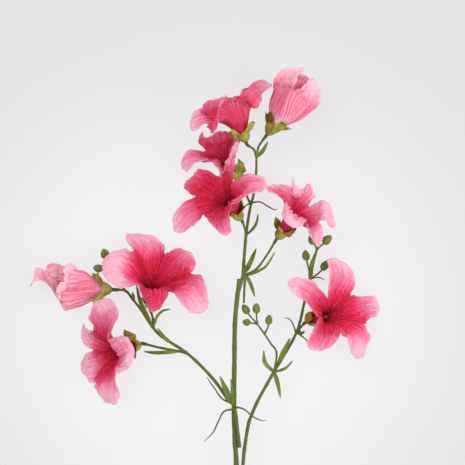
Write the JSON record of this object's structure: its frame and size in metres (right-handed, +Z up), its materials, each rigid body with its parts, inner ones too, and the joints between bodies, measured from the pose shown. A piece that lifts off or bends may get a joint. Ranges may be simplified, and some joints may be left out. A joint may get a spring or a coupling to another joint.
{
  "type": "petunia spray",
  "caption": "Cut petunia spray lying flat: pink trumpet-shaped blooms with five joined petals, pointed green calyces, closed buds, tendrils and narrow leaves on a branched stem.",
  "frame": {"origin": "middle of the spray's outline on the table that it lies on", "axes": "+Y along the main stem from its cut end to its tip, +Z up from the table, +X to the right seen from above"},
  "size_m": [0.288, 0.4007, 0.1005],
  "materials": {
    "petal_pink": "matt, thin petal with a faint sheen",
    "petal_pale_pink": "matt, thin petal with a faint sheen",
    "sepal_olive": "matt, finely hairy",
    "stem_green": "matt, finely hairy",
    "pistil_amber": "smooth, a little moist"
  },
  "bodies": {
    "root": {"main_stem": "stem_green", "left_branch": "stem_green", "right_branch": "stem_green", "corolla_1": "petal_pale_pink", "corolla_2": "petal_pink", "corolla_3": "petal_pink", "corolla_4": "petal_pink", "corolla_5": "petal_pink", "corolla_6": "petal_pink", "corolla_7": "petal_pink", "corolla_8": "petal_pale_pink", "corolla_9": "petal_pink", "calyx_1": "sepal_olive", "calyx_2": "sepal_olive", "calyx_3": "sepal_olive", "calyx_4": "sepal_olive", "calyx_5": "sepal_olive", "calyx_6": "sepal_olive", "calyx_7": "sepal_olive", "calyx_8": "sepal_olive", "calyx_9": "sepal_olive", "pistil_1": "pistil_amber", "pistil_2": "pistil_amber", "pistil_3": "pistil_amber", "pistil_4": "pistil_amber", "pistil_5": "pistil_amber", "pistil_6": "pistil_amber", "pistil_7": "pistil_amber", "pistil_8": "pistil_amber", "pistil_9": "pistil_amber"}
  },
  "joints": []
}
